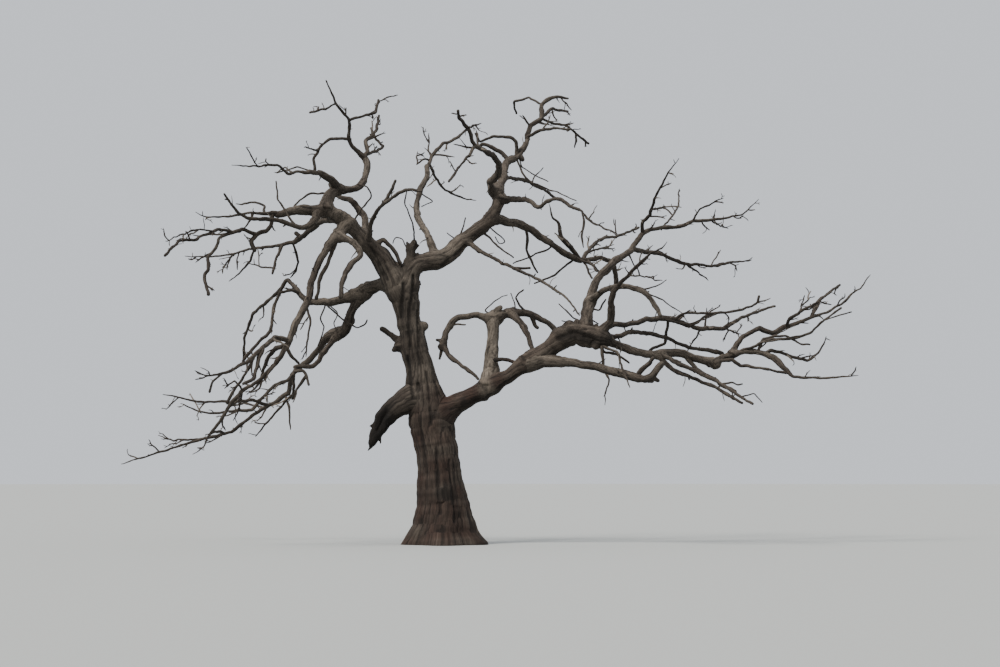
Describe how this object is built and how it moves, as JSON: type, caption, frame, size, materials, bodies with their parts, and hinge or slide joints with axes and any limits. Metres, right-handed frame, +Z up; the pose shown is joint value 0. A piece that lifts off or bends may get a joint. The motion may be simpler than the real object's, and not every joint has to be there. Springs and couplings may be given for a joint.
{
  "type": "dead tree",
  "caption": "Whole bare dead tree: a stout leaning trunk that forks into crooked boughs, with wide, ragged masses of leafless twigs and a long low limb to one side.",
  "frame": {"origin": "on the flat ground-level cut under the trunk, near the middle of it", "axes": "+Z up; +X to the side with the long low limb, and -Y to the side that the picture was taken from"},
  "size_m": [17.5895, 8.2, 10.6272],
  "materials": {
    "trunk_bark": "rough weathered bark with deep lengthwise ridges, dull",
    "bough_bark": "weathered grey-brown bark with lengthwise cracks, dull",
    "bare_wood": "barkless wood, weathered pale grey, dull",
    "broken_wood": "dark splintered wood, dull",
    "twig_wood": "dry grey-brown twigs, dull"
  },
  "bodies": {
    "root": {"trunk": "trunk_bark", "broken_low_limb": "broken_wood", "left_leader": "bough_bark", "right_leader": "bough_bark", "low_left_bough": "bough_bark", "fork_snag": "broken_wood", "fork_arch": "bough_bark", "left_riser": "bough_bark", "left_riser_arm": "bough_bark", "crossing_bough": "bough_bark", "centre_left_bough": "bough_bark", "left_under_bough": "bough_bark", "left_third_bough": "bough_bark", "drooping_bough": "bough_bark", "knee_bough": "bough_bark", "lower_left_bough": "bough_bark", "lower_left_fork": "bough_bark", "centre_bough": "bare_wood", "inner_top_bough": "bough_bark", "outer_top_bough": "bough_bark", "side_top_bough": "bough_bark", "middle_bough": "bough_bark", "upper_right_bough": "bough_bark", "under_right_bough": "bough_bark", "low_right_bough": "bough_bark", "arch_post": "bare_wood", "arch_left": "bare_wood", "arch_tail": "bough_bark", "arch_right": "bough_bark", "arch_inner": "bough_bark", "under_bough": "bough_bark", "long_right_bough": "bough_bark", "far_right_bough": "bough_bark", "furthest_right_bough": "bough_bark", "trailing_right_bough": "bough_bark", "lower_trailing_bough": "bough_bark", "rising_bough": "bough_bark", "bare_arch": "bare_wood", "second_rising_bough": "bough_bark", "slender_bough": "bough_bark", "middle_right_bough": "bough_bark", "left_twigs": "twig_wood", "left_third_twigs": "twig_wood", "top_left_twigs": "twig_wood", "left_arm_twigs": "twig_wood", "low_left_twigs": "twig_wood", "drooping_twigs": "twig_wood", "furthest_left_twigs": "twig_wood", "lower_fork_twigs": "twig_wood", "centre_twigs": "twig_wood", "inner_top_twigs": "twig_wood", "outer_top_twigs": "twig_wood", "middle_twigs": "twig_wood", "upper_right_twigs": "twig_wood", "broken_end_twigs": "twig_wood", "far_right_twigs": "twig_wood", "furthest_right_twigs": "twig_wood", "middle_right_twigs": "twig_wood", "rising_twigs": "twig_wood", "second_rising_twigs": "twig_wood"}
  },
  "joints": []
}
